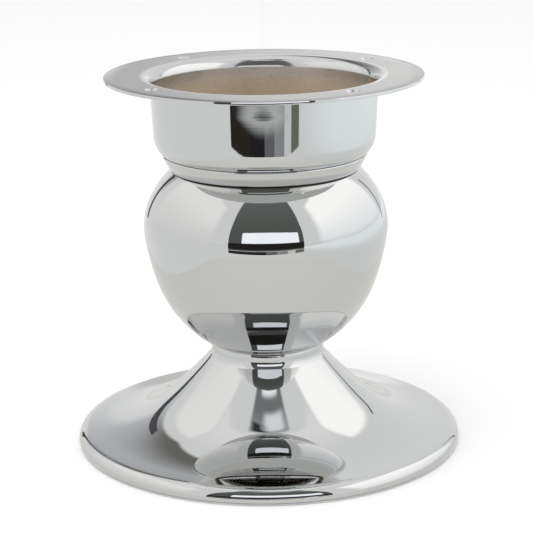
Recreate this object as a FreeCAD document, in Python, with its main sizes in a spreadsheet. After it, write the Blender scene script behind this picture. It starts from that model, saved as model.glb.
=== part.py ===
import FreeCAD, Part
import math
import os

import Sketcher
from FreeCAD import Vector

# An altar candlestick: a trumpet foot, a round knop and a flanged candle cup, each spun or
# pressed from thin sheet and chromed, drawn together by one long bolt up the middle.
# Everything stands about the Z axis. The origin is the centre of the circle it rests on.

doc = FreeCAD.newDocument("altar_candlestick")

# ---------------------------------------------------------------------------------------
# Sizes, in millimetres and degrees
# ---------------------------------------------------------------------------------------

SIZES = {
    # ring under the rim of the foot
    "ring_height": 1.2,
    "ring_edge_inset": 0.5,
    "ring_groove_width": 0.4,
    "ring_groove_depth": 0.4,
    "ring_upstand_height": 1.2,
    "ring_upstand_width": 2.8,
    "ring_gap": 0.25,
    # foot shell
    "foot_sheet": 1.2,
    "foot_radius": 77.8,
    "foot_height": 40.4,
    "rim_straight": 0.7,
    "rim_round": 4.5,
    "plate_slope": 3.0,
    "flank_foot_height": 15.6,
    "flank_round": 172.0,
    "neck_radius": 22.6,
    "neck_straight": 1.6,
    "neck_round": 5.0,
    "neck_round_height": 3.3,
    # knop shell
    "knop_sheet": 1.2,
    "knop_radius": 48.75,
    "knop_lower_height": 47.8,
    "knop_upper_height": 23.4,
    "knop_seam_radius": 23.4,
    "knop_shoulder_radius": 37.0,
    "knop_belly_round": 26.0,
    "knop_belly_rise": 10.9,
    "knop_belly_drop": 3.6,
    "knop_flank_round": 102.0,
    "knop_flank_drop": 21.4,
    "knop_lower_bore": 16.0,
    "knop_upper_bore": 33.0,
    # collar between knop and cup
    "collar_height": 6.2,
    "collar_foot_radius": 37.8,
    "collar_head_radius": 41.0,
    "collar_bore": 35.1,
    "collar_foot_round": 0.9,
    "collar_head_round": 0.4,
    # candle cup with its flange
    "cup_sheet": 1.2,
    "cup_height": 31.0,
    "cup_corner_round": 1.5,
    "cup_bowl_round": 9.5,
    "cup_bowl_height": 6.9,
    "cup_base_radius": 43.9,
    "cup_wall_taper": 3.0,
    "mouth_round": 3.6,
    "flange_radius": 62.8,
    # screw holes in the flange
    "screw_circle_radius": 53.5,
    "screw_hole_radius": 2.0,
    "screw_sink_radius": 2.85,
    "screw_sink_angle": 90.0,
    "screw_turn": 38.0,
    "screw_count": 4,
    # parts on the clamp bolt
    "bolt_radius": 4.0,
    "bolt_hole_radius": 4.25,
    "bolt_end_length": 3.0,
    "bolt_end_chamfer": 0.8,
    "bolt_head_radius": 7.0,
    "bolt_head_height": 4.2,
    "bolt_head_round": 2.8,
    "bolt_socket_radius": 2.9,
    "bolt_socket_depth": 2.6,
    "cup_washer_radius": 12.0,
    "cup_washer_height": 1.6,
    "clamp_plate_radius": 19.0,
    "clamp_plate_height": 3.0,
    "foot_washer_radius": 8.0,
    "foot_washer_height": 1.6,
    "lock_washer_radius": 7.4,
    "lock_washer_height": 2.0,
    "lock_washer_split": 1.4,
    "nut_corner_radius": 7.5,
    "nut_height": 6.5,
    "nut_chamfer_width": 0.9,
    "nut_chamfer_height": 0.5,
    "thread_gap": 0.05,
    # discs and tube inside the knop
    "centring_gap": 0.15,
    "lower_disc_radius": 20.0,
    "lower_disc_height": 2.5,
    "lower_spigot_height": 1.0,
    "upper_disc_height": 3.0,
    "upper_spigot_height": 3.4,
    "spacer_tube_radius": 7.0,
}

sheet = doc.addObject("Spreadsheet::Sheet", "Sizes")
for row, (alias, number) in enumerate(SIZES.items(), start=1):
    sheet.set(f"A{row}", alias)
    sheet.set(f"B{row}", str(number))
    sheet.setAlias(f"B{row}", alias)
doc.recompute()

# degrees in one whole turn
FULL_TURN = 360.0


class Size:
    """A number together with the formula that ties it to the sheet."""

    def __init__(self, value, formula):
        self.value = value
        self.formula = formula

    @staticmethod
    def of(other):
        return other if isinstance(other, Size) else Size(float(other), repr(float(other)))

    def __add__(self, other):
        other = Size.of(other)
        return Size(self.value + other.value, f"({self.formula} + {other.formula})")

    def __sub__(self, other):
        other = Size.of(other)
        return Size(self.value - other.value, f"({self.formula} - {other.formula})")

    def __mul__(self, other):
        other = Size.of(other)
        return Size(self.value * other.value, f"({self.formula} * {other.formula})")


def size(alias):
    return Size(float(sheet.get(alias)), f"Sizes.{alias}")


ZERO = Size(0.0, "0")

# ---------------------------------------------------------------------------------------
# Bodies, sections and features
# ---------------------------------------------------------------------------------------


def new_body(label, height):
    """A body whose own bottom is at the given height of the candlestick."""
    body = doc.addObject("PartDesign::Body", label)
    body.Label = label
    body.setExpression("Placement.Base.z", height.formula)
    return body


def origin_plane(body, role):
    return next(item for item in body.Origin.OriginFeatures if item.Role == role)


def new_sketch(body, name, role):
    sketch = body.newObject("Sketcher::SketchObject", f"{body.Label}_{name}")
    sketch.AttachmentSupport = (origin_plane(body, role), [""])
    sketch.MapMode = "FlatFace"
    return sketch


class Edge:
    """One edge of a section, with the vertices it starts and ends at."""

    def __init__(self, index, start=1, end=2):
        self.index = index
        self.start = (index, start)
        self.end = (index, end)
        self.centre = (index, 3)


class Section:
    """A closed half-section in a body's XZ plane: r is out from the axis, z is up."""

    def __init__(self, body, name="section"):
        self.body = body
        self.sketch = new_sketch(body, name, "XZ_Plane")

    def line(self, start, end):
        return Edge(self.sketch.addGeometry(
            Part.LineSegment(Vector(*start, 0), Vector(*end, 0)), False))

    def arc(self, centre, radius, start, end):
        """An arc walked from angle start to angle end, either way round."""
        circle = Part.Circle(Vector(*centre, 0), Vector(0, 0, 1), radius)
        low, high = min(start, end), max(start, end)
        index = self.sketch.addGeometry(Part.ArcOfCircle(circle, low, high), False)
        return Edge(index) if start < end else Edge(index, 2, 1)

    def constrain(self, *terms, formula=None):
        index = self.sketch.addConstraint(Sketcher.Constraint(*terms))
        if formula:
            self.sketch.setExpression(f"Constraints[{index}]", formula)

    def place(self, vertex, r=None, z=None):
        """Dimension a vertex out from the axis, up from the bottom, or both."""
        for kind, axis, length in (("DistanceX", -2, r), ("DistanceY", -1, z)):
            if length is None:
                continue
            if length is ZERO:
                self.constrain("PointOnObject", *vertex, axis)
            else:
                self.constrain(kind, -1, 1, *vertex, length.value, formula=length.formula)

    def meet(self, first, second):
        self.constrain("Coincident", *first, *second)

    def flow(self, first, second):
        """The second edge leaves the end of the first one with no corner."""
        self.constrain("Tangent", *first.end, *second.start)

    def follow(self, inner, outer):
        """The inner arc shares the outer arc's centre, as the two faces of a sheet do."""
        self.constrain("Coincident", *inner.centre, *outer.centre)

    def radius(self, edge, length):
        self.constrain("Radius", edge.index, length.value, formula=length.formula)

    def upright(self, edge):
        self.constrain("Vertical", edge.index)

    def level(self, edge):
        self.constrain("Horizontal", edge.index)

    def parallel(self, first, second):
        self.constrain("Parallel", first.index, second.index)

    def polygon(self, corners):
        """Straight edges through corners that are each dimensioned both ways."""
        points = [(r.value, z.value) for r, z in corners]
        edges = [self.line(a, b) for a, b in zip(points, points[1:] + points[:1])]
        for edge, following in zip(edges, edges[1:] + edges[:1]):
            self.meet(edge.end, following.start)
        for edge, (r, z) in zip(edges, corners):
            self.place(edge.start, r, z)
        return edges

    def turn(self):
        """Turn the section right round the axis."""
        solid = self.body.newObject("PartDesign::Revolution", f"{self.body.Label}_turned")
        solid.Profile = self.sketch
        solid.ReferenceAxis = (self.sketch, ["V_Axis"])
        solid.Angle = FULL_TURN
        self.sketch.Visibility = False
        doc.recompute()
        return solid


def turned_body(label, height, corners):
    """A body turned from a section of straight edges."""
    body = new_body(label, height)
    section = Section(body)
    section.polygon(corners)
    section.turn()
    return body


def polar(centre, radius, angle):
    return (centre[0] + radius * math.cos(angle), centre[1] + radius * math.sin(angle))


def arc_through(start, normal, end):
    """Radius of the arc that leaves start square to normal and passes through end."""
    across = (start[0] - end[0], start[1] - end[1])
    reach = across[0] * normal[0] + across[1] * normal[1]
    return (across[0] ** 2 + across[1] ** 2) / (2 * reach)


def angle_of(centre, point):
    return math.atan2(point[1] - centre[1], point[0] - centre[0])


def edges_at(body, radius, height, tolerance=0.01):
    """Names of the round edges of a turned body at one radius and one height."""
    names = []
    for number, edge in enumerate(body.Shape.Edges, start=1):
        curve = edge.Curve
        if not isinstance(curve, Part.Circle):
            continue
        edge_height = curve.Center.z - body.Placement.Base.z
        if abs(curve.Radius - radius) < tolerance and abs(edge_height - height) < tolerance:
            names.append(f"Edge{number}")
    return names


def round_edge(body, name, edges, radius):
    base = body.Tip
    fillet = body.newObject("PartDesign::Fillet", f"{body.Label}_{name}")
    fillet.Base = (base, edges)
    fillet.setExpression("Radius", radius.formula)
    doc.recompute()
    return fillet


def cut_from_plane(body, sketch, name, depth):
    """Pocket a sketch into the body, to a depth, on whichever side of its plane the body lies."""
    before = body.Shape.Volume
    pocket = body.newObject("PartDesign::Pocket", f"{body.Label}_{name}")
    pocket.Profile = sketch
    pocket.Type = 0
    pocket.setExpression("Length", depth.formula)
    sketch.Visibility = False
    doc.recompute()
    if body.Shape.Volume >= before:
        pocket.Reversed = True
        doc.recompute()
    if body.Shape.Volume >= before:
        raise RuntimeError(f"{pocket.Label} cut nothing")
    return pocket


# ---------------------------------------------------------------------------------------
# Heights of the joints, from the resting face up
# ---------------------------------------------------------------------------------------

foot_base = size("ring_height")
foot_top = foot_base + size("foot_height")
knop_height = size("knop_lower_height") + size("knop_upper_height")
knop_top = foot_top + knop_height
cup_base = knop_top + size("collar_height")
cup_floor = cup_base + size("cup_sheet")
head_seat = cup_floor + size("cup_washer_height")
plate_base = foot_top - size("foot_sheet") - size("clamp_plate_height")
washer_base = plate_base - size("foot_washer_height")
lock_base = washer_base - size("lock_washer_height")
nut_base = lock_base - size("nut_height")
bolt_end = nut_base - size("bolt_end_length")

bolt_hole = size("bolt_hole_radius")

# ---------------------------------------------------------------------------------------
# Foot shell: a flat rounded rim, a nearly level plate and a concave flank up to the neck
# ---------------------------------------------------------------------------------------


def foot_shell():
    body = new_body("foot_shell", foot_base)
    section = Section(body)
    wall = size("foot_sheet")
    rim = size("foot_radius")
    rim_round = size("rim_round")
    rim_straight = size("rim_straight")
    top = size("foot_height")
    neck = size("neck_radius")
    neck_end = top - wall - size("neck_straight")
    flank_top = neck_end - size("neck_round_height")
    flank_foot = size("flank_foot_height")
    slope = math.radians(size("plate_slope").value)

    # where the arcs start and stop, so that each is drawn close to its dimensions
    neck_round = size("neck_round").value
    neck_centre = (neck.value + neck_round, neck_end.value)
    upper_turn = math.asin(size("neck_round_height").value / neck_round)
    upper_join = polar(neck_centre, neck_round, math.pi + upper_turn)
    flank_round = size("flank_round").value
    flank_centre = polar(upper_join, flank_round, upper_turn)
    lower_turn = math.asin((flank_centre[1] - flank_foot.value) / flank_round)
    lower_join = polar(flank_centre, flank_round, math.pi + lower_turn)
    rim_centre = (rim.value - rim_round.value, rim_straight.value)
    plate_end = polar(rim_centre, rim_round.value, math.pi / 2 - slope)
    fall = math.pi / 2 - lower_turn
    across, drop = plate_end[0] - lower_join[0], lower_join[1] - plate_end[1]
    reach = (drop * math.cos(slope) - across * math.sin(slope)) / math.sin(fall - slope)
    sweep_round = reach / math.tan((fall - slope) / 2)
    sweep_centre = polar(lower_join, sweep_round, lower_turn)
    sweep_stop = 1.5 * math.pi - slope
    plate_start = polar(sweep_centre, sweep_round, sweep_stop)

    def face(inset):
        """One face of the sheet, from the neck down to the rim."""
        shift = inset * wall.value
        neck_line = section.line((neck.value - shift, top.value - shift),
                                 (neck.value - shift, neck_end.value))
        neck_arc = section.arc(neck_centre, neck_round + shift, math.pi, math.pi + upper_turn)
        flank = section.arc(flank_centre, flank_round + shift,
                            math.pi + upper_turn, math.pi + lower_turn)
        sweep = section.arc(sweep_centre, sweep_round + shift,
                            math.pi + lower_turn, sweep_stop)
        under = (shift * math.sin(slope), shift * math.cos(slope))
        plate = section.line((plate_start[0] - under[0], plate_start[1] - under[1]),
                             (plate_end[0] - under[0], plate_end[1] - under[1]))
        rim_arc = section.arc(rim_centre, rim_round.value - shift, math.pi / 2 - slope, 0.0)
        rim_line = section.line((rim.value - shift, rim_straight.value), (rim.value - shift, 0))
        return [neck_line, neck_arc, flank, sweep, plate, rim_arc, rim_line]

    outer, inner = face(0), face(1)
    for edges in (outer, inner):
        for first, second in zip(edges, edges[1:]):
            section.flow(first, second)
        section.upright(edges[0])
    neck_line, neck_arc, flank, sweep, plate, rim_arc, rim_line = outer
    section.place(neck_line.start, neck, top)
    section.place(neck_line.end, z=neck_end)
    section.radius(neck_arc, size("neck_round"))
    section.place(neck_arc.end, z=flank_top)
    section.radius(flank, size("flank_round"))
    section.place(flank.end, z=flank_foot)
    section.constrain("Angle", plate.index, 1, -1, 1, slope,
                      formula=size("plate_slope").formula + " * 1 deg")
    section.radius(rim_arc, rim_round)
    section.upright(rim_line)
    section.place(rim_line.start, z=rim_straight)
    section.place(rim_line.end, rim, ZERO)

    inner_neck, inner_neck_arc, inner_flank, inner_sweep, inner_plate, inner_rim, inner_line = inner
    for edge, partner in zip((inner_neck_arc, inner_flank, inner_sweep, inner_rim),
                             (neck_arc, flank, sweep, rim_arc)):
        section.follow(edge, partner)
    section.parallel(inner_plate, plate)
    section.place(inner_neck.start, z=top - wall)
    section.upright(inner_line)
    section.place(inner_line.end, rim - wall, ZERO)

    # the raw edge that stands on the ring, and the flat top with its bolt hole
    edge_line = section.line((rim.value, 0), (rim.value - wall.value, 0))
    section.meet(edge_line.start, rim_line.end)
    section.meet(edge_line.end, inner_line.end)
    under_top = section.line((neck.value - wall.value, top.value - wall.value),
                             (bolt_hole.value, top.value - wall.value))
    hole_wall = section.line((bolt_hole.value, top.value - wall.value),
                             (bolt_hole.value, top.value))
    over_top = section.line((bolt_hole.value, top.value), (neck.value, top.value))
    section.meet(under_top.start, inner_neck.start)
    section.meet(under_top.end, hole_wall.start)
    section.meet(hole_wall.end, over_top.start)
    section.meet(over_top.end, neck_line.start)
    section.place(hole_wall.start, bolt_hole, top - wall)
    section.place(hole_wall.end, bolt_hole, top)
    section.turn()
    return body


# ---------------------------------------------------------------------------------------
# Knop shell: four arcs that run into each other, and a flat lip turned in at each end
# ---------------------------------------------------------------------------------------


def knop_shell():
    body = new_body("knop_shell", foot_top)
    section = Section(body)
    wall = size("knop_sheet")
    thick = wall.value
    belly_height = size("knop_lower_height")
    belly_round = size("knop_belly_round")
    flank_round = size("knop_flank_round").value
    upper_join_height = belly_height + size("knop_belly_rise")
    lower_join_height = belly_height - size("knop_belly_drop")
    flank_join_height = belly_height - size("knop_flank_drop")
    seam = size("knop_seam_radius")
    shoulder = size("knop_shoulder_radius")
    lower_bore = size("knop_lower_bore")
    upper_bore = size("knop_upper_bore")

    # where the arcs start and stop, walked from the shoulder down to the seam
    belly_r = size("knop_radius") - belly_round
    belly_centre = (belly_r.value, belly_height.value)
    rise = math.asin(size("knop_belly_rise").value / belly_round.value)
    drop = -math.asin(size("knop_belly_drop").value / belly_round.value)
    top_edge = (shoulder.value, knop_height.value)
    upper_join = polar(belly_centre, belly_round.value, rise)
    shoulder_round = arc_through(upper_join, polar((0, 0), 1, rise), top_edge)
    shoulder_centre = polar(upper_join, -shoulder_round, rise)
    lower_join = polar(belly_centre, belly_round.value, drop)
    flank_centre = polar(lower_join, -flank_round, drop)
    flank_drop = math.asin((flank_join_height.value - flank_centre[1]) / flank_round)
    flank_join = polar(flank_centre, flank_round, flank_drop)
    low_edge = (seam.value, 0.0)
    base_round = arc_through(flank_join, polar((0, 0), 1, flank_drop), low_edge)
    base_centre = polar(flank_join, -base_round, flank_drop)

    def face(inset):
        """One face of the sheet, as four arcs from the shoulder down."""
        shift = inset * thick
        top = math.asin((top_edge[1] - shift - shoulder_centre[1]) / (shoulder_round - shift))
        low = math.asin((low_edge[1] + shift - base_centre[1]) / (base_round - shift))
        return [
            section.arc(shoulder_centre, shoulder_round - shift, top, rise),
            section.arc(belly_centre, belly_round.value - shift, rise, drop),
            section.arc(flank_centre, flank_round - shift, drop, flank_drop),
            section.arc(base_centre, base_round - shift, flank_drop, low),
        ]

    outer, inner = face(0), face(1)
    for edges in (outer, inner):
        for first, second in zip(edges, edges[1:]):
            section.flow(first, second)
    for edge, partner in zip(inner, outer):
        section.follow(edge, partner)
    shoulder_arc, belly, flank, base_arc = outer
    section.place(shoulder_arc.start, shoulder, knop_height)
    section.place(belly.centre, belly_r, belly_height)
    section.radius(belly, belly_round)
    section.place(belly.start, z=upper_join_height)
    section.place(belly.end, z=lower_join_height)
    section.radius(flank, size("knop_flank_round"))
    section.place(flank.end, z=flank_join_height)
    section.place(base_arc.end, seam, ZERO)
    section.radius(inner[1], belly_round - wall)
    section.place(inner[0].start, z=knop_height - wall)
    section.place(inner[3].end, z=wall)

    # the two lips
    for outer_end, inner_end, bore, face_height, under_height in (
            (shoulder_arc.start, inner[0].start, upper_bore, knop_height, knop_height - wall),
            (base_arc.end, inner[3].end, lower_bore, ZERO, wall)):
        outside = shoulder if bore is upper_bore else seam
        face_line = section.line((outside.value, face_height.value),
                                 (bore.value, face_height.value))
        bore_wall = section.line((bore.value, face_height.value), (bore.value, under_height.value))
        under_line = section.line((bore.value, under_height.value),
                                  (outside.value - thick, under_height.value))
        section.meet(face_line.start, outer_end)
        section.meet(face_line.end, bore_wall.start)
        section.meet(bore_wall.end, under_line.start)
        section.meet(under_line.end, inner_end)
        section.place(bore_wall.start, bore, face_height)
        section.place(bore_wall.end, bore, under_height)
    section.turn()
    return body


# ---------------------------------------------------------------------------------------
# Collar: a tapered ring between the knop's shoulder and the cup
# ---------------------------------------------------------------------------------------


def cup_collar():
    height = size("collar_height")
    foot, head = size("collar_foot_radius"), size("collar_head_radius")
    bore = size("collar_bore")
    body = turned_body("cup_collar", knop_top,
                       [(bore, ZERO), (foot, ZERO), (head, height), (bore, height)])
    for name, radius, edge_height, rounding in (
            ("foot_round", foot, ZERO, "collar_foot_round"),
            ("head_round", head, height, "collar_head_round")):
        edges = edges_at(body, radius.value, edge_height.value)
        round_edge(body, name, edges, size(rounding))
    return body


# ---------------------------------------------------------------------------------------
# Candle cup: flat floor, rounded bowl, slightly open wall and a flange with screw holes
# ---------------------------------------------------------------------------------------


def candle_cup():
    body = new_body("candle_cup", cup_base)
    section = Section(body)
    wall = size("cup_sheet")
    thick = wall.value
    height = size("cup_height")
    corner_round = size("cup_corner_round")
    bowl_round = size("cup_bowl_round")
    bowl_height = size("cup_bowl_height")
    base_radius = size("cup_base_radius")
    mouth_round = size("mouth_round")
    flange = size("flange_radius")
    under = height - wall
    taper = math.radians(size("cup_wall_taper").value)

    # where the arcs start and stop, walked from the floor up to the flange
    bowl_end = (base_radius.value, bowl_height.value)
    bowl_centre = polar(bowl_end, -bowl_round.value, -taper)
    inside = bowl_round.value - corner_round.value
    corner_z = corner_round.value
    corner_centre = (bowl_centre[0] + math.sqrt(inside ** 2 - (bowl_centre[1] - corner_z) ** 2),
                     corner_z)
    corner_turn = angle_of(bowl_centre, corner_centre)
    mouth_z = under.value - mouth_round.value
    rise = (mouth_z + mouth_round.value * math.sin(taper) - bowl_height.value) / math.cos(taper)
    wall_top = polar(bowl_end, rise, math.pi / 2 - taper)
    mouth_centre = polar(wall_top, mouth_round.value, -taper)

    def face(inset):
        """One face of the sheet, from the floor up to the flange."""
        shift = inset * thick
        low = bolt_hole.value
        floor = section.line((low, shift), (corner_centre[0], shift))
        corner = section.arc(corner_centre, corner_z - shift, -math.pi / 2, corner_turn)
        bowl = section.arc(bowl_centre, bowl_round.value - shift, corner_turn, -taper)
        side = section.line(polar(bowl_end, -shift, -taper), polar(wall_top, -shift, -taper))
        mouth = section.arc(mouth_centre, mouth_round.value + shift,
                            math.pi - taper, math.pi / 2)
        brim = section.line((mouth_centre[0], under.value + shift),
                            (flange.value, under.value + shift))
        return [floor, corner, bowl, side, mouth, brim]

    outer, inner = face(0), face(1)
    for edges in (outer, inner):
        for first, second in zip(edges, edges[1:]):
            section.flow(first, second)
        section.level(edges[0])
        section.level(edges[-1])
    floor, corner, bowl, side, mouth, brim = outer
    section.place(floor.start, bolt_hole, ZERO)
    section.radius(corner, corner_round)
    section.radius(bowl, bowl_round)
    section.place(side.start, base_radius, bowl_height)
    section.constrain("Angle", side.index, 1, -2, 1, taper,
                      formula=size("cup_wall_taper").formula + " * 1 deg")
    section.radius(mouth, mouth_round)
    section.place(brim.end, flange, under)
    inner_floor, inner_corner, inner_bowl, inner_side, inner_mouth, inner_brim = inner
    for edge, partner in zip((inner_corner, inner_bowl, inner_mouth), (corner, bowl, mouth)):
        section.follow(edge, partner)
    section.parallel(inner_side, side)
    section.place(inner_floor.start, bolt_hole, wall)
    section.place(inner_brim.end, r=flange)

    hole_wall = section.line((bolt_hole.value, 0), (bolt_hole.value, thick))
    section.meet(hole_wall.start, floor.start)
    section.meet(hole_wall.end, inner_floor.start)
    brim_edge = section.line((flange.value, under.value), (flange.value, height.value))
    section.meet(brim_edge.start, brim.end)
    section.meet(brim_edge.end, inner_brim.end)
    section.turn()

    # one screw hole, sunk from the top of the flange, and then its ring of copies
    turn = math.radians(size("screw_turn").value)
    hole_sketch = new_sketch(body, "screw_place", "XY_Plane")
    hole_sketch.setExpression("AttachmentOffset.Base.z", height.formula)
    hole_place = polar((0, 0), size("screw_circle_radius").value, turn)
    circle = hole_sketch.addGeometry(
        Part.Circle(Vector(*hole_place, 0), Vector(0, 0, 1), size("screw_hole_radius").value), False)
    spoke = hole_sketch.addGeometry(Part.LineSegment(Vector(0, 0, 0), Vector(*hole_place, 0)), True)
    for terms, formula in (
            (("Coincident", spoke, 1, -1, 1), None),
            (("Coincident", spoke, 2, circle, 3), None),
            (("Distance", spoke, size("screw_circle_radius").value),
             size("screw_circle_radius").formula),
            (("Angle", -1, 1, spoke, 1, turn), size("screw_turn").formula + " * 1 deg"),
            (("Radius", circle, size("screw_hole_radius").value),
             size("screw_hole_radius").formula)):
        index = hole_sketch.addConstraint(Sketcher.Constraint(*terms))
        if formula:
            hole_sketch.setExpression(f"Constraints[{index}]", formula)
    doc.recompute()
    hole = body.newObject("PartDesign::Hole", "candle_cup_screw_hole")
    hole.Profile = hole_sketch
    hole.ThreadType = 0
    hole.DepthType = 1
    hole.HoleCutType = 2
    hole.HoleCutCustomValues = True
    hole.setExpression("Diameter", size("screw_hole_radius").formula + " * 2")
    hole.setExpression("HoleCutDiameter", size("screw_sink_radius").formula + " * 2")
    hole.setExpression("HoleCutCountersinkAngle", size("screw_sink_angle").formula + " * 1 deg")
    hole_sketch.Visibility = False
    doc.recompute()
    ring = body.newObject("PartDesign::PolarPattern", "candle_cup_screw_ring")
    ring.Originals = [hole]
    ring.Axis = (origin_plane(body, "Z_Axis"), [""])
    ring.Angle = FULL_TURN
    ring.setExpression("Occurrences", size("screw_count").formula)
    body.Tip = ring
    doc.recompute()
    return body


# ---------------------------------------------------------------------------------------
# Ring under the rim, and the discs and tube inside
# ---------------------------------------------------------------------------------------


def base_ring():
    """The raw edge of the foot stands on a ledge, round an upstand that centres it."""
    ledge = size("ring_height")
    outside = size("foot_radius") - size("ring_edge_inset")
    groove = outside - size("ring_groove_width")
    groove_floor = ledge - size("ring_groove_depth")
    upstand = size("foot_radius") - size("foot_sheet") - size("ring_gap")
    inside = upstand - size("ring_upstand_width")
    crest = ledge + size("ring_upstand_height")
    return turned_body("base_ring", ZERO, [
        (inside, ZERO), (outside, ZERO), (outside, groove_floor), (groove, groove_floor),
        (groove, ledge), (upstand, ledge), (upstand, crest), (inside, crest)])


def lower_centring_disc():
    """Lies on the knop's lower lip, with a spigot down into the lip's bore."""
    lip = size("knop_sheet")
    spigot = size("knop_lower_bore") - size("centring_gap")
    drop = size("lower_spigot_height")
    top = drop + size("lower_disc_height")
    disc = size("lower_disc_radius")
    return turned_body("lower_centring_disc", foot_top + lip - drop, [
        (bolt_hole, ZERO), (spigot, ZERO), (spigot, drop), (disc, drop), (disc, top),
        (bolt_hole, top)])


def upper_centring_disc():
    """Lies on the knop's upper lip inside the collar, with a spigot down into the bore."""
    spigot = size("knop_upper_bore") - size("centring_gap")
    drop = size("upper_spigot_height")
    top = drop + size("upper_disc_height")
    disc = size("collar_bore") - size("centring_gap")
    return turned_body("upper_centring_disc", knop_top - drop, [
        (bolt_hole, ZERO), (spigot, ZERO), (spigot, drop), (disc, drop), (disc, top),
        (bolt_hole, top)])


def spacer_tube():
    """Stands between the two discs and stops the bolt from crushing the knop."""
    base = foot_top + size("knop_sheet") + size("lower_disc_height")
    length = knop_top - size("upper_spigot_height") - base
    outside = size("spacer_tube_radius")
    return turned_body("spacer_tube", base, [
        (bolt_hole, ZERO), (outside, ZERO), (outside, length), (bolt_hole, length)])


def washer(label, height, outside, inside, thickness):
    return turned_body(label, height, [
        (inside, ZERO), (outside, ZERO), (outside, thickness), (inside, thickness)])


def lock_washer():
    """A spring washer: a ring with one slot through it."""
    body = washer("lock_washer", lock_base, size("lock_washer_radius"), bolt_hole,
                  size("lock_washer_height"))
    sketch = new_sketch(body, "split", "XY_Plane")
    half = size("lock_washer_split") * 0.5
    reach = size("lock_washer_radius") + size("lock_washer_split")
    # four corners of the slot, out from the axis along X
    corners = [(0.0, -half.value), (reach.value, -half.value),
               (reach.value, half.value), (0.0, half.value)]
    sides = [sketch.addGeometry(Part.LineSegment(Vector(*a, 0), Vector(*b, 0)), False)
             for a, b in zip(corners, corners[1:] + corners[:1])]
    for first, second in zip(sides, sides[1:] + sides[:1]):
        sketch.addConstraint(Sketcher.Constraint("Coincident", first, 2, second, 1))
    sketch.addConstraint(Sketcher.Constraint("Horizontal", sides[0]))
    sketch.addConstraint(Sketcher.Constraint("Vertical", sides[1]))
    sketch.addConstraint(Sketcher.Constraint("Horizontal", sides[2]))
    sketch.addConstraint(Sketcher.Constraint("PointOnObject", sides[0], 1, -2))
    sketch.addConstraint(Sketcher.Constraint("Symmetric", sides[0], 1, sides[2], 2, -1, 1))
    for side, length in ((sides[0], reach), (sides[1], size("lock_washer_split"))):
        index = sketch.addConstraint(Sketcher.Constraint("Distance", side, length.value))
        sketch.setExpression(f"Constraints[{index}]", length.formula)
    cut_from_plane(body, sketch, "slot", size("lock_washer_height"))
    return body


def six_sided(body, name, height, corner_radius):
    """A regular hexagon in a body's XY plane, lifted to a height, corner on the X axis."""
    sketch = new_sketch(body, name, "XY_Plane")
    sketch.setExpression("AttachmentOffset.Base.z", height.formula)
    points = [polar((0, 0), corner_radius.value, math.radians(60 * k)) for k in range(6)]
    sides = [sketch.addGeometry(Part.LineSegment(Vector(*a, 0), Vector(*b, 0)), False)
             for a, b in zip(points, points[1:] + points[:1])]
    guide = sketch.addGeometry(
        Part.Circle(Vector(0, 0, 0), Vector(0, 0, 1), corner_radius.value), True)
    sketch.addConstraint(Sketcher.Constraint("Coincident", guide, 3, -1, 1))
    index = sketch.addConstraint(Sketcher.Constraint("Radius", guide, corner_radius.value))
    sketch.setExpression(f"Constraints[{index}]", corner_radius.formula)
    for first, second in zip(sides, sides[1:] + sides[:1]):
        sketch.addConstraint(Sketcher.Constraint("Coincident", first, 2, second, 1))
        sketch.addConstraint(Sketcher.Constraint("PointOnObject", second, 1, guide))
    for side in sides[1:]:
        sketch.addConstraint(Sketcher.Constraint("Equal", sides[0], side))
    sketch.addConstraint(Sketcher.Constraint("PointOnObject", sides[0], 1, -1))
    return sketch


def foot_nut():
    body = new_body("foot_nut", nut_base)
    height = size("nut_height")
    corner = size("nut_corner_radius")
    block = body.newObject("PartDesign::Pad", "foot_nut_block")
    block.Profile = six_sided(body, "flats", ZERO, corner)
    block.setExpression("Length", height.formula)
    doc.recompute()

    def groove(name, corners):
        before = body.Shape.Volume
        section = Section(body, name)
        section.polygon(corners)
        cut = body.newObject("PartDesign::Groove", f"foot_nut_{name}")
        cut.Profile = section.sketch
        cut.ReferenceAxis = (section.sketch, ["V_Axis"])
        cut.Angle = FULL_TURN
        doc.recompute()
        if body.Shape.Volume >= before:
            raise RuntimeError(f"foot_nut_{name} cut nothing")

    bore = size("bolt_radius") + size("thread_gap")
    groove("bore", [(ZERO, ZERO), (bore, ZERO), (bore, height), (ZERO, height)])
    flat = corner - size("nut_chamfer_width")
    beyond = corner + size("nut_chamfer_width")
    cut = size("nut_chamfer_height")
    groove("lower_chamfer", [(flat, ZERO), (beyond, ZERO), (beyond, cut * 2.0)])
    groove("upper_chamfer", [(flat, height), (beyond, height - cut * 2.0), (beyond, height)])
    return body


def clamp_bolt():
    """A long bolt with a low round head and a six-sided socket, put in from the cup."""
    length = head_seat - bolt_end
    shank = size("bolt_radius")
    chamfer = size("bolt_end_chamfer")
    head = size("bolt_head_radius")
    top = length + size("bolt_head_height")
    body = turned_body("clamp_bolt", bolt_end, [
        (ZERO, ZERO), (shank - chamfer, ZERO), (shank, chamfer), (shank, length),
        (head, length), (head, top), (ZERO, top)])
    round_edge(body, "crown", edges_at(body, head.value, top.value), size("bolt_head_round"))
    socket = six_sided(body, "socket_flats", top, size("bolt_socket_radius"))
    cut_from_plane(body, socket, "socket", size("bolt_socket_depth"))
    return body


# ---------------------------------------------------------------------------------------
# The whole candlestick, from the bottom up
# ---------------------------------------------------------------------------------------

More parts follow.
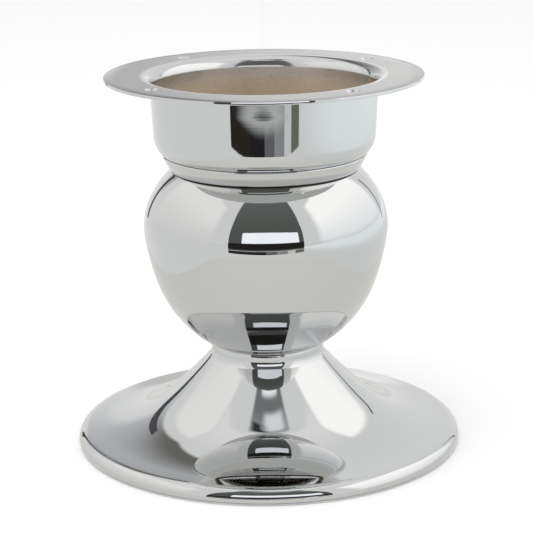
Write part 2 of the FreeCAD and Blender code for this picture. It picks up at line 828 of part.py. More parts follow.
bodies = [
    base_ring(),
    foot_shell(),
    clamp_bolt(),
    foot_nut(),
    lock_washer(),
    washer("foot_washer", washer_base, size("foot_washer_radius"), bolt_hole,
           size("foot_washer_height")),
    washer("clamp_plate", plate_base, size("clamp_plate_radius"), bolt_hole,
           size("clamp_plate_height")),
    knop_shell(),
    lower_centring_disc(),
    spacer_tube(),
    upper_centring_disc(),
    cup_collar(),
    candle_cup(),
    washer("cup_washer", cup_floor, size("cup_washer_radius"), bolt_hole,
           size("cup_washer_height")),
]
doc.recompute()

for item in doc.Objects:
    if "Invalid" in item.State or "Error" in item.State:
        raise RuntimeError(f"{item.Label} failed: {item.State}")
    if item.TypeId == "Sketcher::SketchObject" and not item.FullyConstrained:
        raise RuntimeError(f"{item.Label} is not fully dimensioned")
for body in bodies:
    if body.Shape.isNull() or not body.Shape.isValid() or len(body.Shape.Solids) != 1:
        raise RuntimeError(f"{body.Label} is not one sound solid")

os.makedirs("parts", exist_ok=True)
for body in bodies:
    body.Shape.exportStep(f"parts/{body.Label}.step")
    box = body.Shape.BoundBox
    print(f"{body.Label:20s} volume {body.Shape.Volume:9.1f}  z {box.ZMin:7.2f} to {box.ZMax:7.2f}"
          f"  across {box.XLength:7.2f}")
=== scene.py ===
# %% [markdown]
# # An altar candlestick in chromed sheet
# The candlestick is pressed from thin steel sheet and chromed. A trumpet foot carries a round
# knop, a turned collar and an open cup with a flat flange, and one long bolt clamps them together.
# The engineering model is loaded first, as a fixed frame. Every shell that shows is then made
# again as a finer lathed mesh in the same place, because chrome shows the smallest facet.

import math

import bmesh
import bpy
from mathutils import Matrix, Vector


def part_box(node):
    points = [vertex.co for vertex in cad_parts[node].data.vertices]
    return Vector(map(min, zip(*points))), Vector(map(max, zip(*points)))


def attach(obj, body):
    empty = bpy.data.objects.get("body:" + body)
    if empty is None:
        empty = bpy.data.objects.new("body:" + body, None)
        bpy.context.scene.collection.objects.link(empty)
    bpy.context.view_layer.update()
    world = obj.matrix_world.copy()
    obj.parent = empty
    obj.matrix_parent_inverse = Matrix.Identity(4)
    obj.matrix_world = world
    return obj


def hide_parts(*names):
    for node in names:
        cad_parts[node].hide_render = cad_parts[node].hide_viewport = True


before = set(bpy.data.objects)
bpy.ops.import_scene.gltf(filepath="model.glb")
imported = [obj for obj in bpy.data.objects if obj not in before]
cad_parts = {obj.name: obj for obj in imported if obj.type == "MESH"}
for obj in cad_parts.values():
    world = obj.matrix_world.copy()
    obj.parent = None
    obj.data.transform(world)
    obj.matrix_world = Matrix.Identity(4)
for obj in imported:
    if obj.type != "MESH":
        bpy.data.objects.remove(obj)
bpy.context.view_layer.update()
print("nodes in the frame:", sorted(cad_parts))

# %% [markdown]
# ## The camera
# A long lens from about 0.7 m looks a little down on the candlestick, so the flange shows as a
# flat ellipse and a strip of the cup's inner wall is seen. A long lens is chosen because it keeps
# the foot from looking larger than the flange. The tiny roll is that of a hand-set tripod.

# %% Set up the camera
LENS_MM = 126.1
CAMERA_PLACE = Vector((0.0, -0.72527, 0.27091))
CAMERA_PITCH = math.radians(90 - 15.37)
CAMERA_ROLL = math.radians(-0.81)

camera_data = bpy.data.cameras.new("camera")
camera_data.sensor_width = 36.0
camera_data.lens = LENS_MM
camera = bpy.data.objects.new("camera", camera_data)
bpy.context.scene.collection.objects.link(camera)
camera.matrix_world = (Matrix.Translation(CAMERA_PLACE)
                       @ Matrix.Rotation(CAMERA_PITCH, 4, "X")
                       @ Matrix.Rotation(CAMERA_ROLL, 4, "Z"))
bpy.context.scene.camera = camera
bpy.context.scene.view_settings.view_transform = "Standard"
print("camera distance from the axis:", round(CAMERA_PLACE.length, 3), "m")

# %% [markdown]
# ## Walking a section
# A spinner draws a sheet shell as one line from edge to edge: straight here, bent there. The
# helper below does the same. It drops a tiny plane, merges it to one vertex, and then walks that
# vertex along the section: a straight run is an extrude, and a bend is a spin of the last vertex
# about the bend's own centre. The finished line is spun once round the Z axis. Spin is chosen over
# a Screw modifier because the arcs stay exact and each bend can have its own number of steps.

# %% Walk a section with extrude and spin
MM = 0.001
ROUND_STEPS = 240
LONGEST_STEP = 1.3
STRAIGHT_STEP = 4 * LONGEST_STEP
WIDEST_STEP = math.radians(3.0)
FEWEST_BEND_STEPS = 3
SEED_SIZE = 0.1
MERGE = 1e-6


def clear_selection():
    """Leaves nothing selected, so the next operator acts on the new piece alone."""
    if bpy.context.object and bpy.context.object.mode != "OBJECT":
        bpy.ops.object.mode_set(mode="OBJECT")
    bpy.ops.object.select_all(action="DESELECT")


class Walk:
    """One vertex walked along a section in the XZ plane, in millimetres."""

    def __init__(self, name, r, z, heading=0.0):
        clear_selection()
        bpy.ops.mesh.primitive_plane_add(size=SEED_SIZE * MM, location=(r * MM, 0, z * MM))
        self.piece = bpy.context.object
        self.piece.name = name
        bpy.ops.object.transform_apply(location=True)
        bpy.ops.object.mode_set(mode="EDIT")
        # an earlier cell may have left the selection on faces, and a lone vertex needs points
        bpy.ops.mesh.select_mode(type="VERT")
        bpy.ops.mesh.select_all(action="SELECT")
        bpy.ops.mesh.merge(type="CENTER")
        self.r = r
        self.z = z
        self.heading = math.radians(heading)

    def to(self, r, z):
        """A straight run to a stated point, in short steps so that the spun faces stay square."""
        length = math.hypot(r - self.r, z - self.z)
        steps = max(1, math.ceil(length / STRAIGHT_STEP))
        step = Vector(((r - self.r) / steps, 0, (z - self.z) / steps)) * MM
        for _ in range(steps):
            bpy.ops.mesh.extrude_region_move(TRANSFORM_OT_translate={"value": step})
        self.heading = math.atan2(z - self.z, r - self.r)
        self.r = r
        self.z = z
        return self

    def straight(self, length):
        """A straight run ahead, the way the line was already going."""
        return self.to(self.r + length * math.cos(self.heading),
                       self.z + length * math.sin(self.heading))

    def bend(self, radius, turn):
        """A bend of one radius. A positive turn, in degrees, goes to the left of the way ahead."""
        turn = math.radians(turn)
        side = math.copysign(1, turn)
        centre_r = self.r - side * radius * math.sin(self.heading)
        centre_z = self.z + side * radius * math.cos(self.heading)
        steps = max(FEWEST_BEND_STEPS, math.ceil(abs(turn) / WIDEST_STEP),
                    math.ceil(abs(turn) * radius / LONGEST_STEP))
        bpy.ops.mesh.spin(steps=steps, angle=turn, center=(centre_r * MM, 0, centre_z * MM),
                          axis=(0, 1, 0))
        start = math.atan2(self.z - centre_z, self.r - centre_r)
        self.r = centre_r + radius * math.cos(start + turn)
        self.z = centre_z + radius * math.sin(start + turn)
        self.heading += turn
        return self

    def turned(self, steps=ROUND_STEPS):
        """Spins the line once round the axis and closes the seam."""
        bpy.ops.mesh.select_all(action="SELECT")
        bpy.ops.mesh.remove_doubles(threshold=MERGE)
        bpy.ops.mesh.select_all(action="SELECT")
        bpy.ops.mesh.spin(steps=steps, angle=2 * math.pi, center=(0, 0, 0), axis=(0, 0, 1))
        bpy.ops.mesh.select_all(action="SELECT")
        bpy.ops.mesh.remove_doubles(threshold=MERGE)
        bpy.ops.mesh.normals_make_consistent(inside=False)
        bpy.ops.object.mode_set(mode="OBJECT")
        return self.piece


TRUE_EDGE = math.radians(30)


def finish_shape(piece):
    """Smooth shading that still breaks at true edges, and a line about what was made."""
    clear_selection()
    bpy.context.view_layer.objects.active = piece
    piece.select_set(True)
    bpy.ops.object.shade_smooth_by_angle(angle=TRUE_EDGE)
    size = piece.dimensions / MM
    print(f"{piece.name}: {len(piece.data.polygons)} faces,"
          f" {size.x:.1f} x {size.y:.1f} x {size.z:.1f} mm")
    return piece


def add_modifier(piece, kind, **settings):
    """Adds one modifier, sets it and applies it."""
    clear_selection()
    bpy.context.view_layer.objects.active = piece
    piece.select_set(True)
    modifier = piece.modifiers.new(kind.lower(), kind)
    for key, value in settings.items():
        setattr(modifier, key, value)
    bpy.ops.object.modifier_apply(modifier=modifier.name)


def flip_outward(piece, out, up):
    """Turns an open shell so that its largest face looks the stated way, outwards and up."""
    largest = max(piece.data.polygons, key=lambda face: face.area)
    away = Vector((largest.center.x, largest.center.y, 0)).normalized()
    wanted = away * out + Vector((0, 0, up))
    if largest.normal.dot(wanted) < 0:
        piece.data.flip_normals()


SHEET = 1.2
EASED_EDGE = 0.12
SHARP_EDGE = math.radians(60)


def ease_edges(piece):
    """Takes the sharpness off the raw edges with a narrow bevel."""
    add_modifier(piece, "BEVEL", width=EASED_EDGE * MM, segments=2, limit_method="ANGLE",
                 angle_limit=SHARP_EDGE)


def sheet_wall(piece, out, up):
    """Gives a turned skin the thickness of the sheet, on the inner side, and eases its edges."""
    flip_outward(piece, out, up)
    add_modifier(piece, "SOLIDIFY", thickness=SHEET * MM, offset=-1, use_even_offset=True)
    ease_edges(piece)


def stands_for(piece, node):
    """The piece rides on the one body and takes the node's place; the node is hidden."""
    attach(piece, "root")
    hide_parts(node)


print("sections are spun in", ROUND_STEPS, "steps")

# %% [markdown]
# ## The foot
# The foot is one pressing: a short upright edge, a tight roll, a nearly flat plate and a long
# hollow sweep up to a narrow neck. Its sweep is three arcs that meet without a corner. It could be
# shaped from a cylinder with a curve to guide it, but walking the same arcs as the press tool
# keeps the plate truly flat and the reflections clean.

# %% Turn the foot
# each bend is a radius in millimetres and a turn in degrees
RAW_EDGE = 0.7
RIM_ROLL = (4.5, 87)
PLATE_RUN = 4.51
LOWER_SWEEP = (44.235, -36.76)
UPPER_SWEEP = (172, -8.94)
NECK_TURN = (5, -41.3)
NECK_RADIUS = 22.6
BOLT_HOLE = 4.25

foot_low, foot_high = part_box("foot_shell")
foot = Walk("foot", foot_high.x / MM, foot_low.z / MM, heading=90)
foot.straight(RAW_EDGE)
foot.bend(*RIM_ROLL)
foot.straight(PLATE_RUN)
foot.bend(*LOWER_SWEEP)
foot.bend(*UPPER_SWEEP)
foot.bend(*NECK_TURN)
print("the sweep ends at r", round(foot.r, 2), "z", round(foot.z, 2))
foot.to(NECK_RADIUS, foot_high.z / MM)
foot.to(BOLT_HOLE, foot_high.z / MM)
foot_piece = foot.turned()
sheet_wall(foot_piece, out=1, up=1)
finish_shape(foot_piece)
stands_for(foot_piece, "foot_shell")

# %% [markdown]
# ## The ring under the foot
# A thin ring sits inside the raw edge of the foot and keeps it off the table. It shows only as a
# pale line with a dark gap above it. A solid ring with a step turned into its edge gives both.

# %% Turn the ring
RING_INNER = 73.55
RING_SPIGOT = 76.35
RING_STEP = 76.9
RING_OUTER = 77.3
RING_LIP_HEIGHT = 0.8
RING_SEAT_HEIGHT = 1.2

ring_low, ring_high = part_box("base_ring")
ring = Walk("foot_ring", RING_INNER, ring_low.z / MM)
ring.to(RING_OUTER, 0)
ring.to(RING_OUTER, RING_LIP_HEIGHT)
ring.to(RING_STEP, RING_LIP_HEIGHT)
ring.to(RING_STEP, RING_SEAT_HEIGHT)
ring.to(RING_SPIGOT, RING_SEAT_HEIGHT)
ring.to(RING_SPIGOT, ring_high.z / MM)
ring.to(RING_INNER, ring_high.z / MM)
ring.to(RING_INNER, 0)
ring_piece = ring.turned()
ease_edges(ring_piece)
finish_shape(ring_piece)
stands_for(ring_piece, "base_ring")

# %% [markdown]
# ## The knop
# The knop is the round swelling in the middle of the stem. It was pressed in two halves and
# polished over the seam, so it is one shell here: a flat seat on the neck, a deep belly, its
# fullest point a little above half way and a rounder shoulder under the collar.

# %% Turn the knop
KNOP_LOWER_HOLE = 16.0
KNOP_SEAT = 23.4
BELLY_START = 31.35
LOWER_BELLY = (48.795, 40.41)
UPPER_BELLY = (102, 10.28)
FULLEST_BEND = (26, 32.75)
SHOULDER = (37.471, 24.04)
KNOP_TOP = 37.0
KNOP_UPPER_HOLE = 33.0

knop_low, knop_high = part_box("knop_shell")
knop = Walk("knop", KNOP_LOWER_HOLE, knop_low.z / MM)
knop.to(KNOP_SEAT, knop_low.z / MM)
knop.heading = math.radians(BELLY_START)
knop.bend(*LOWER_BELLY)
knop.bend(*UPPER_BELLY)
knop.bend(*FULLEST_BEND)
knop.bend(*SHOULDER)
knop.to(KNOP_TOP, knop_high.z / MM)
knop.to(KNOP_UPPER_HOLE, knop_high.z / MM)
knop_piece = knop.turned()
sheet_wall(knop_piece, out=1, up=0)
finish_shape(knop_piece)
stands_for(knop_piece, "knop_shell")

# %% [markdown]
# ## The collar
# A solid turned ring sits between the knop and the cup. Its side slopes outwards to the cup, so
# it shows as a plain bright band. Walking its closed outline and spinning it is the shortest way
# to a solid ring with one small round below and a smaller one above.

# %% Turn the collar
COLLAR_BORE = 35.1
COLLAR_FOOT = 37.252
COLLAR_LOW_ROUND = (0.9, 62.7)
COLLAR_HEAD = (40.699, 118.417)
COLLAR_HIGH_ROUND = (0.4, 117.3)

collar_low, collar_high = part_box("cup_collar")
collar = Walk("collar", COLLAR_BORE, collar_low.z / MM)
collar.to(COLLAR_FOOT, collar_low.z / MM)
collar.bend(*COLLAR_LOW_ROUND)
collar.to(*COLLAR_HEAD)
collar.bend(*COLLAR_HIGH_ROUND)
collar.to(COLLAR_BORE, collar_high.z / MM)
collar.to(COLLAR_BORE, collar_low.z / MM)
collar_piece = collar.turned()
finish_shape(collar_piece)
stands_for(collar_piece, "cup_collar")

# %% [markdown]
# ## The candle cup
# The cup is pressed from one disc: a flat floor, a rounded bowl, a wall that opens a little, and
# a mouth that rolls over into a wide flat flange. The wall takes its thickness on the inside.
# Four screw holes are sunk into the flange. They are cut with a boolean, because the flange is
# flat there and a cut leaves no mark on its shading.

# %% Turn the cup
CUP_FLOOR = 39.819
FLOOR_ROUND = (1.5, 42.47)
BOWL_ROUND = (9.5, 44.53)
WALL_TOP = (44.921, 145.388)
MOUTH_ROUND = (3.6, -87)
FLANGE_RADIUS = 62.8

cup_low, cup_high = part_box("candle_cup")
cup = Walk("cup", BOLT_HOLE, cup_low.z / MM)
cup.to(CUP_FLOOR, cup_low.z / MM)
cup.bend(*FLOOR_ROUND)
cup.bend(*BOWL_ROUND)
cup.to(*WALL_TOP)
cup.bend(*MOUTH_ROUND)
cup.to(FLANGE_RADIUS, cup_high.z / MM - SHEET)
cup_piece = cup.turned()
sheet_wall(cup_piece, out=1, up=-1)

# %% Sink the screw holes
SCREW_CIRCLE = 53.5
SCREW_HOLE = 2.0
SCREW_SINK = 2.85
FIRST_SCREW = 38
SCREW_COUNT = 4
DRILL_OVER = 0.3
DRILL_FACETS = 48
NEARLY_LEVEL = 0.9
sink_floor = cup_high.z / MM - (SCREW_SINK - SCREW_HOLE)
drill_start = cup_high.z / MM - 2 * SHEET

clear_selection()
bpy.ops.mesh.primitive_cylinder_add(
    vertices=DRILL_FACETS, radius=SCREW_HOLE * MM, depth=(sink_floor - drill_start) * MM,
    location=(SCREW_CIRCLE * MM, 0, (sink_floor + drill_start) / 2 * MM))
drill = bpy.context.object
bpy.ops.object.mode_set(mode="EDIT")
bpy.ops.mesh.select_mode(type="FACE")
bpy.ops.mesh.select_all(action="DESELECT")
drill_mesh = bmesh.from_edit_mesh(drill.data)
for face in drill_mesh.faces:
    face.select_set(face.normal.z > NEARLY_LEVEL)
bmesh.update_edit_mesh(drill.data)
# the sink opens at a right angle, so it widens as much as it rises
sink_rise = SCREW_SINK - SCREW_HOLE + DRILL_OVER
widen = (SCREW_HOLE + sink_rise) / SCREW_HOLE
bpy.ops.mesh.extrude_region_move(TRANSFORM_OT_translate={"value": (0, 0, sink_rise * MM)})
bpy.ops.transform.resize(value=(widen, widen, 1))
bpy.ops.object.mode_set(mode="OBJECT")
bpy.ops.object.transform_apply(location=True)
drill.rotation_euler.z = math.radians(FIRST_SCREW)
bpy.ops.object.transform_apply(rotation=True)
bpy.ops.object.mode_set(mode="EDIT")
bpy.ops.mesh.select_all(action="SELECT")
for _ in range(SCREW_COUNT - 1):
    bpy.ops.mesh.duplicate()
    bpy.ops.transform.rotate(value=math.radians(360 / SCREW_COUNT), orient_axis="Z",
                             center_override=(0, 0, 0))
bpy.ops.mesh.select_all(action="SELECT")
bpy.ops.object.mode_set(mode="OBJECT")
add_modifier(cup_piece, "BOOLEAN", operation="DIFFERENCE", object=drill, solver="EXACT")
bpy.data.objects.remove(drill)
finish_shape(cup_piece)
stands_for(cup_piece, "candle_cup")

# %% [markdown]
# ## The clamp bolt
# One long bolt holds the stack together. Its low round head, with a hexagon socket, lies on a
# washer in the floor of the cup, and its threaded end comes out inside the foot. The shank is one
# turned outline. The thread is cut as close rings, one to a pitch, because a true helix looks
# the same at this size and would leave an open seam.

# %% Turn the bolt
SHANK = 4.0
END_CHAMFER = 0.8
PITCH = 1.25
THREAD_LAND = 0.15 * PITCH
THREAD_FLANK = 0.35 * PITCH
THREAD_DEPTH = 0.55
THREAD_TOP = 45.0
HEAD_RADIUS = 7.0
HEAD_HEIGHT = 4.2
HEAD_ROUND = 2.8
BOLT_STEPS = 64
SOCKET_RADIUS = 2.9
SOCKET_DEPTH = 2.6

bolt_low, bolt_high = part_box("clamp_bolt")
bolt = Walk("bolt", 0, bolt_low.z / MM)
bolt.to(SHANK - END_CHAMFER, bolt.z)
bolt.to(SHANK, bolt.z + END_CHAMFER)
while bolt.z < THREAD_TOP:
    bolt.to(SHANK, bolt.z + THREAD_LAND)
    bolt.to(SHANK - THREAD_DEPTH, bolt.z + THREAD_FLANK)
    bolt.to(SHANK - THREAD_DEPTH, bolt.z + THREAD_LAND)
    bolt.to(SHANK, bolt.z + THREAD_FLANK)
head_seat = bolt_high.z / MM - HEAD_HEIGHT
bolt.to(SHANK, head_seat)
bolt.to(HEAD_RADIUS, head_seat)
bolt.to(HEAD_RADIUS, head_seat + HEAD_HEIGHT - HEAD_ROUND)
bolt.bend(HEAD_ROUND, 90)
bolt.to(0, bolt_high.z / MM)
bolt_piece = bolt.turned(steps=BOLT_STEPS)
clear_selection()
bpy.ops.mesh.primitive_cylinder_add(vertices=6, radius=SOCKET_RADIUS * MM,
                                    depth=2 * SOCKET_DEPTH * MM, location=(0, 0, bolt_high.z))
socket_cutter = bpy.context.object
bpy.ops.object.transform_apply(location=True)
add_modifier(bolt_piece, "BOOLEAN", operation="DIFFERENCE", object=socket_cutter, solver="EXACT")
bpy.data.objects.remove(socket_cutter)
finish_shape(bolt_piece)
stands_for(bolt_piece, "clamp_bolt")

# %% [markdown]
# ## A way to write materials
# Every finish here is worked out from where a point lies on the object. Such a recipe is easier
# to read as sums than as a picture of nodes, so one small class wraps a socket and lets it be
# added, multiplied and compared in plain Python. Each sum adds its own Math node.

# %% Signals and recipes


class Signal:
    """One number, colour or direction on its way through a recipe."""

    def __init__(self, recipe, socket):
        self.recipe = recipe
        self.socket = socket

    def sum(self, operation, first, second):
        """Adds one Math node and gives back what comes out of it."""
        return self.recipe.node("ShaderNodeMath", {"operation": operation}, {0: first, 1: second})

    def __add__(self, other):
        return self.sum("ADD", self, other)

    def __sub__(self, other):
        return self.sum("SUBTRACT", self, other)

    def __rsub__(self, other):
        return self.sum("SUBTRACT", other, self)

    def __mul__(self, other):
        return self.sum("MULTIPLY", self, other)

    def __pow__(self, other):
        return self.sum("POWER", self, other)

    __radd__ = __add__
    __rmul__ = __mul__


class Recipe:
    """A material under way, with its finished shader and the sums that feed it."""

    def __init__(self, name):
        self.material = bpy.data.materials.new(name)
        self.material.use_nodes = True
        self.tree = self.material.node_tree
        self.shader = self.tree.nodes["Principled BSDF"]

    def node(self, kind, settings=None, inputs=None, output=0):
        """Adds a node, sets it, then fills or links its sockets, and gives back one output."""
        made = self.tree.nodes.new(kind)
        for key, value in (settings or {}).items():
            setattr(made, key, value)
        for key, value in (inputs or {}).items():
            self.plug(made.inputs[key], value)
        return Signal(self, made.outputs[output])

    def plug(self, socket, value):
        """Links a signal to a socket, or sets the socket's own value."""
        if isinstance(value, Signal):
            self.tree.links.new(value.socket, socket)
        else:
            socket.default_value = value

    def parts_of(self, direction):
        """Splits a direction or a place into its three numbers."""
        split = self.tree.nodes.new("ShaderNodeSeparateXYZ")
        self.tree.links.new(direction.socket, split.inputs[0])
        return [Signal(self, out) for out in split.outputs]

    def place(self):
        """Where the point is on the object, whole and as X, Y and Z in metres."""
        found = self.node("ShaderNodeTexCoord", output="Object")
        return found, self.parts_of(found)

    def noise(self, where, scale, detail=2.0):
        """Cloudy noise. A larger scale is finer."""
        return self.node("ShaderNodeTexNoise", None,
                         {"Vector": where, "Scale": scale, "Detail": detail})

    def step(self, value, low, high):
        """Runs smoothly from 0 at low to 1 at high."""
        return self.node("ShaderNodeMapRange", {"interpolation_type": "SMOOTHSTEP"},
                         {"Value": value, "From Min": low, "From Max": high})

    def blend(self, factor, first, second):
        """Mixes two colours."""
        return self.node("ShaderNodeMix", {"data_type": "RGBA"},
                         {0: factor, 6: first, 7: second}, output=2)

    def bump(self, height, depth, over=None):
        """Turns a height into relief of a depth in metres, over another relief if one is given."""
        inputs = {"Height": height, "Distance": depth, "Strength": 1.0}
        if over is not None:
            inputs["Normal"] = over
        return self.node("ShaderNodeBump", None, inputs)

    def finish(self, **values):
        """Sets or links the shader's sockets and gives back the finished material."""
        for key, value in values.items():
            self.plug(self.shader.inputs[key.replace("_", " ")], value)
        print("finish:", self.material.name, len(self.tree.nodes), "nodes")
        return self.material


def paint(piece, *materials):
    """Gives a piece its finish in place of whatever it had."""
    piece.data.materials.clear()
    for material in materials:
        piece.data.materials.append(material)


# %% [markdown]
# ## Bright chrome
# Chrome is a thin bright plate over polished steel. It gives back about six tenths of the light,
# a touch less in the red, so white paper looks pale grey in it. The sheet under it was pressed
# and buffed, which leaves a slow waviness of a few centimetres and hair-fine lines around the
# axis. Both are bump, far too shallow to model, and a few dull smears change the roughness.
# Thin brown lines are painted at the two joints, under the collar and on the neck. They are partly
# painted shadow of the gap under each edge and partly polish and dirt left in the joint.

# %% Mix the chrome
CHROME = (0.615, 0.622, 0.622, 1)
# the brown of the joint lines: partly painted shadow of the gaps, partly dirt
JOINT_SHADE_AND_DIRT = (0.09, 0.075, 0.06, 1)
POLISH = 0.025
WAVE_DEPTH = 0.00022
LINE_DEPTH = 0.0000012
# each joint's brown line, painted shadow and dirt: where it starts, is full, is still full and
# ends, up from the table
UPPER_JOINT = (0.1123, 0.1126, 0.1130, 0.1134)
LOWER_JOINT = (0.0411, 0.0414, 0.0417, 0.0420)


def ring_lines(recipe, parts, fineness):
    """Hair lines that run round the axis: noise on the radius and the height alone."""
    x, y, z = parts
    radius = (x * x + y * y) ** 0.5
    drawn = recipe.node("ShaderNodeCombineXYZ", None, {0: radius, 1: z, 2: 0.0})
    return recipe.noise(drawn, fineness, detail=3.0)


def band(recipe, value, rise_from, rise_to, fall_from, fall_to):
    """1 inside a band of values, and easing to 0 on both sides of it."""
    return recipe.step(value, rise_from, rise_to) * (1.0 - recipe.step(value, fall_from, fall_to))


def chrome_recipe(name):
    """Starts a chromed material: its recipe, its smears, its relief and its tone."""
    recipe = Recipe(name)
    where, parts = recipe.place()
    waves = recipe.noise(where, 22.0, detail=1.0)
    lines = ring_lines(recipe, parts, 1900.0)
    smears = recipe.step(recipe.noise(where, 34.0, detail=4.0), 0.52, 0.75)
    waved = recipe.bump(waves, WAVE_DEPTH)
    lined = recipe.bump(lines, LINE_DEPTH, over=waved)
    # brown lines at the two joints: painted shadow of the gap under each edge, with some dirt
    height = parts[2]
    joint_shade_and_dirt = band(recipe, height, *UPPER_JOINT) + band(recipe, height, *LOWER_JOINT)
    tone = recipe.blend(joint_shade_and_dirt, CHROME, JOINT_SHADE_AND_DIRT)
    return recipe, smears, lined, tone


chrome, smears, lined, tone = chrome_recipe("chrome")
chrome_finish = chrome.finish(Base_Color=tone, Metallic=1.0,
                              Roughness=POLISH + smears * 0.035, Normal=lined)
for piece in (foot_piece, knop_piece, collar_piece):
    paint(piece, chrome_finish)

# %% [markdown]
# ## The flange and the inside of the cup
# The top of the flange was left with a satin grind, so it is greyer and softer than the wall.
# The plating reaches only a few millimetres down the mouth. Below that the bare pressing has
# dulled to a warm brown grey with fine specks. Each side of the sheet gets its own material:
# the faces are picked by where they look, and inside each recipe the height or the radius fades
# one finish into the next, so that no edge looks masked.

# %% Mix the flange and the inside
PLATED_DOWN_TO = 0.1455
RAGGED_BY = 0.0015
DULL_FADE = (-0.0025, 0.0085)
BARE_DARK = (0.45, 0.37, 0.28, 1)
BARE_PALE = (0.68, 0.58, 0.46, 1)
SPECK = (0.30, 0.20, 0.12, 1)
FLANGE_STARTS = (0.0480, 0.0492)
FLANGE_LEVEL = (0.1497, 0.1499)
FLANGE_DARK = (0.32, 0.32, 0.315, 1)
FLANGE_PALE = (0.45, 0.45, 0.445, 1)

inside_recipe, inside_smears, inside_lined, inside_tone = chrome_recipe("cup_inside")
inside_where, (_, _, inside_z) = inside_recipe.place()
ragged = inside_recipe.noise(inside_where, 120.0, detail=4.0)
dull = inside_recipe.step(PLATED_DOWN_TO - inside_z + (ragged - 0.5) * RAGGED_BY, *DULL_FADE)
specks = inside_recipe.step(inside_recipe.noise(inside_where, 1100.0, detail=4.0), 0.58, 0.7)
cloud = inside_recipe.noise(inside_where, 45.0, detail=4.0)
bare = inside_recipe.blend(cloud, BARE_DARK, BARE_PALE)
bare = inside_recipe.blend(specks * 0.45, bare, SPECK)
inside_grain = inside_recipe.noise(inside_where, 1500.0, detail=3.0)
inside_finish = inside_recipe.finish(
    Base_Color=inside_recipe.blend(dull, inside_tone, bare),
    Metallic=1.0 - dull * 0.45,
    Roughness=0.10 + inside_smears * 0.05 + dull * 0.32,
    Normal=inside_recipe.bump(inside_grain * dull, 0.00005, over=inside_lined))

flange_recipe, flange_smears, flange_lined, flange_chrome = chrome_recipe("flange_satin")
flange_where, (flange_x, flange_y, flange_z) = flange_recipe.place()
flange_radius = (flange_x * flange_x + flange_y * flange_y) ** 0.5
satin = (flange_recipe.step(flange_radius, *FLANGE_STARTS)
         * flange_recipe.step(flange_z, *FLANGE_LEVEL))
flange_grain = flange_recipe.noise(flange_where, 1300.0, detail=2.0)
flange_cloud = flange_recipe.noise(flange_where, 26.0, detail=3.0)
flange_tone = flange_recipe.blend(flange_cloud, FLANGE_DARK, FLANGE_PALE)
flange_finish = flange_recipe.finish(
    Base_Color=flange_recipe.blend(satin, flange_chrome, flange_tone),
    Metallic=1.0,
    Roughness=0.03 + flange_smears * 0.035 + satin * (0.10 + flange_grain * 0.06),
    Normal=flange_recipe.bump(flange_grain * satin, 0.00003, over=flange_lined))

# %% Share the finishes out on the cup
OUTSIDE, INSIDE, FLANGE_TOP = range(3)
LOOKS_IN = -0.02
LOOKS_UP = 0.5
LEVEL = 0.98
FLOOR_LIMIT = 0.125

paint(cup_piece, chrome_finish, inside_finish, flange_finish)
inner_faces = 0
for face in cup_piece.data.polygons:
    away = Vector((face.center.x, face.center.y, 0)).normalized()
    inner_wall = face.normal.dot(away) < LOOKS_IN and face.center.z < cup_high.z
    inner_floor = face.normal.z > LOOKS_UP and face.center.z < FLOOR_LIMIT
    if inner_wall or inner_floor:
        face.material_index = INSIDE
        inner_faces += 1
    elif face.normal.z > LEVEL:
        face.material_index = FLANGE_TOP
    else:
        face.material_index = OUTSIDE
print("inner faces:", inner_faces)

# %% [markdown]
# ## The plain finishes
# The ring under the foot is grey moulded plastic. The bolt, nut and washers are zinc plated:
# pale, slightly blue and not quite even. The plate and discs inside are bare steel as it came
# off the lathe, with rings of tool marks and a little brown bloom.

# %% Mix the plain finishes
PLASTIC_DARK = (0.50, 0.51, 0.52, 1)
PLASTIC_PALE = (0.60, 0.61, 0.62, 1)
ZINC_DARK = (0.55, 0.57, 0.60, 1)
ZINC_PALE = (0.70, 0.71, 0.71, 1)
STEEL = (0.52, 0.51, 0.50, 1)
BLOOM = (0.36, 0.28, 0.20, 1)

ring_recipe = Recipe("ring_plastic")
ring_where, _ = ring_recipe.place()
ring_grain = ring_recipe.noise(ring_where, 2600.0, detail=2.0)
ring_cloud = ring_recipe.noise(ring_where, 70.0, detail=3.0)
ring_finish = ring_recipe.finish(
    Base_Color=ring_recipe.blend(ring_cloud, PLASTIC_DARK, PLASTIC_PALE),
    Roughness=0.42 + ring_grain * 0.2, Normal=ring_recipe.bump(ring_grain, 0.00003))
paint(ring_piece, ring_finish)

zinc_recipe = Recipe("zinc")
zinc_where, _ = zinc_recipe.place()
spangle = zinc_recipe.noise(zinc_where, 420.0, detail=3.0)
zinc_cloud = zinc_recipe.noise(zinc_where, 90.0, detail=3.0)
zinc_finish = zinc_recipe.finish(
    Base_Color=zinc_recipe.blend(zinc_cloud, ZINC_DARK, ZINC_PALE),
    Metallic=1.0, Roughness=0.22 + spangle * 0.2, Normal=zinc_recipe.bump(spangle, 0.00003))

steel_recipe = Recipe("bare_steel")
steel_where, steel_parts = steel_recipe.place()
tool_marks = ring_lines(steel_recipe, steel_parts, 2400.0)
bloom = steel_recipe.step(steel_recipe.noise(steel_where, 55.0, detail=5.0), 0.5, 0.8)
steel_finish = steel_recipe.finish(
    Base_Color=steel_recipe.blend(bloom * 0.6, STEEL, BLOOM),
    Metallic=1.0 - bloom * 0.3, Roughness=0.28 + tool_marks * 0.22,
    Normal=steel_recipe.bump(tool_marks, 0.00002))

paint(bolt_piece, zinc_finish)
for node in ("foot_nut", "lock_washer", "foot_washer", "cup_washer"):
    paint(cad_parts[node], zinc_finish)
for node in ("clamp_plate", "lower_centring_disc", "upper_centring_disc", "spacer_tube"):
    paint(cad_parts[node], steel_finish)

